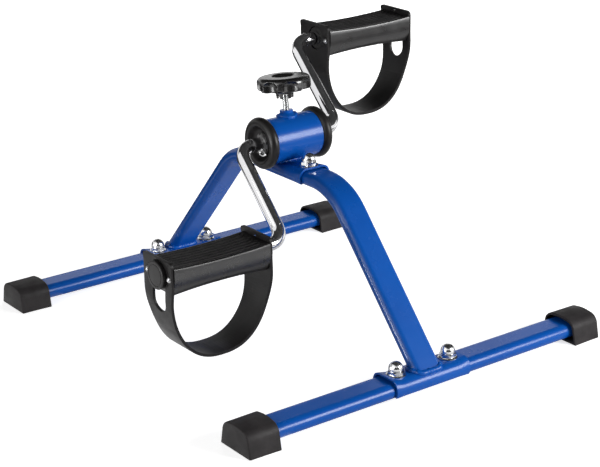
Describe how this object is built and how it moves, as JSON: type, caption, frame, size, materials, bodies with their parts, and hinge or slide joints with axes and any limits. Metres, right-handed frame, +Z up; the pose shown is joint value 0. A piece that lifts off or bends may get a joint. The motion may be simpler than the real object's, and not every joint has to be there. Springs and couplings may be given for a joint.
{
  "type": "pedal exerciser",
  "caption": "Tabletop or floor pedal exerciser: bolted tube stand with rubber feet, friction-braked bent-rod crank, strapped pedals and a tension knob.",
  "frame": {"origin": "on the floor under the middle of the hub", "axes": "+X along the crank axle to the right, +Y towards the rear floor bar, +Z up"},
  "size_m": [0.4, 0.432, 0.2671],
  "materials": {
    "frame_paint": "gloss royal blue enamel",
    "foot_rubber": "satin black rubber",
    "chrome": "bright chrome plate",
    "zinc": "bright zinc plate",
    "cap_plastic": "satin black plastic",
    "nylon": "natural nylon",
    "steel": "turned steel",
    "felt": "pressed brown felt",
    "pedal_plastic": "satin black moulded plastic",
    "strap_rubber": "satin black flexible plastic",
    "knob_plastic": "semi-gloss black plastic",
    "brass": "plain brass"
  },
  "bodies": {
    "frame": {"floor_bar_front": "frame_paint", "floor_bar_rear": "frame_paint", "foot_front_left": "foot_rubber", "foot_front_right": "foot_rubber", "foot_rear_left": "foot_rubber", "foot_rear_right": "foot_rubber", "saddle_front": "frame_paint", "saddle_rear": "frame_paint", "arch_tube": "frame_paint", "hub_saddle": "frame_paint", "hub_tube": "frame_paint", "tension_boss": "frame_paint", "floor_bolts": "zinc", "floor_washers": "chrome", "floor_nuts": "chrome", "hub_bolts": "zinc", "hub_washers": "chrome", "hub_nuts": "chrome", "hub_cap_left": "cap_plastic", "hub_cap_right": "cap_plastic", "hub_bush_left": "nylon", "hub_bush_right": "nylon"},
    "crank": {"crank_left": "chrome", "crank_right": "chrome", "brake_drum": "steel", "drum_pins": "zinc", "axle_retainer_left": "chrome", "axle_retainer_right": "chrome", "pedal_retainer_left": "zinc", "pedal_retainer_right": "zinc"},
    "left_pedal": {"pedal_left": "pedal_plastic", "pedal_bushes_left": "nylon", "pedal_cap_left": "pedal_plastic", "strap_left": "strap_rubber", "strap_studs_left": "zinc"},
    "right_pedal": {"pedal_right": "pedal_plastic", "pedal_bushes_right": "nylon", "pedal_cap_right": "pedal_plastic", "strap_right": "strap_rubber", "strap_studs_right": "zinc"},
    "brake": {"brake_shoe": "steel", "brake_pad": "felt"},
    "tension_knob": {"tension_screw": "chrome", "knob": "knob_plastic", "knob_insert": "brass"}
  },
  "joints": [
    {"name": "crank_turn", "type": "hinge", "parent": "frame", "child": "crank", "pos_m": [0, 0, 0.1845], "axis": [1, 0, 0], "continuous": true},
    {"name": "left_pedal_turn", "type": "hinge", "parent": "crank", "child": "left_pedal", "pos_m": [-0.1405, -0.07373, 0.11694], "axis": [1, 0, 0], "continuous": true},
    {"name": "right_pedal_turn", "type": "hinge", "parent": "crank", "child": "right_pedal", "pos_m": [0.1405, 0.07373, 0.25206], "axis": [1, 0, 0], "continuous": true},
    {"name": "brake_travel", "type": "slide", "parent": "frame", "child": "brake", "axis": [0, 0.1219, 0.9925], "range_m": [-0.00074, 0.0025]},
    {"name": "knob_turn", "type": "hinge", "parent": "brake", "child": "tension_knob", "pos_m": [0, 0, 0.1845], "axis": [0, 0.1219, 0.9925], "range_deg": [-265, 890]}
  ],
  "couplings": [
    {"joint": "brake_travel", "follows": "knob_turn", "m_per_rad": 0.00015915}
  ]
}
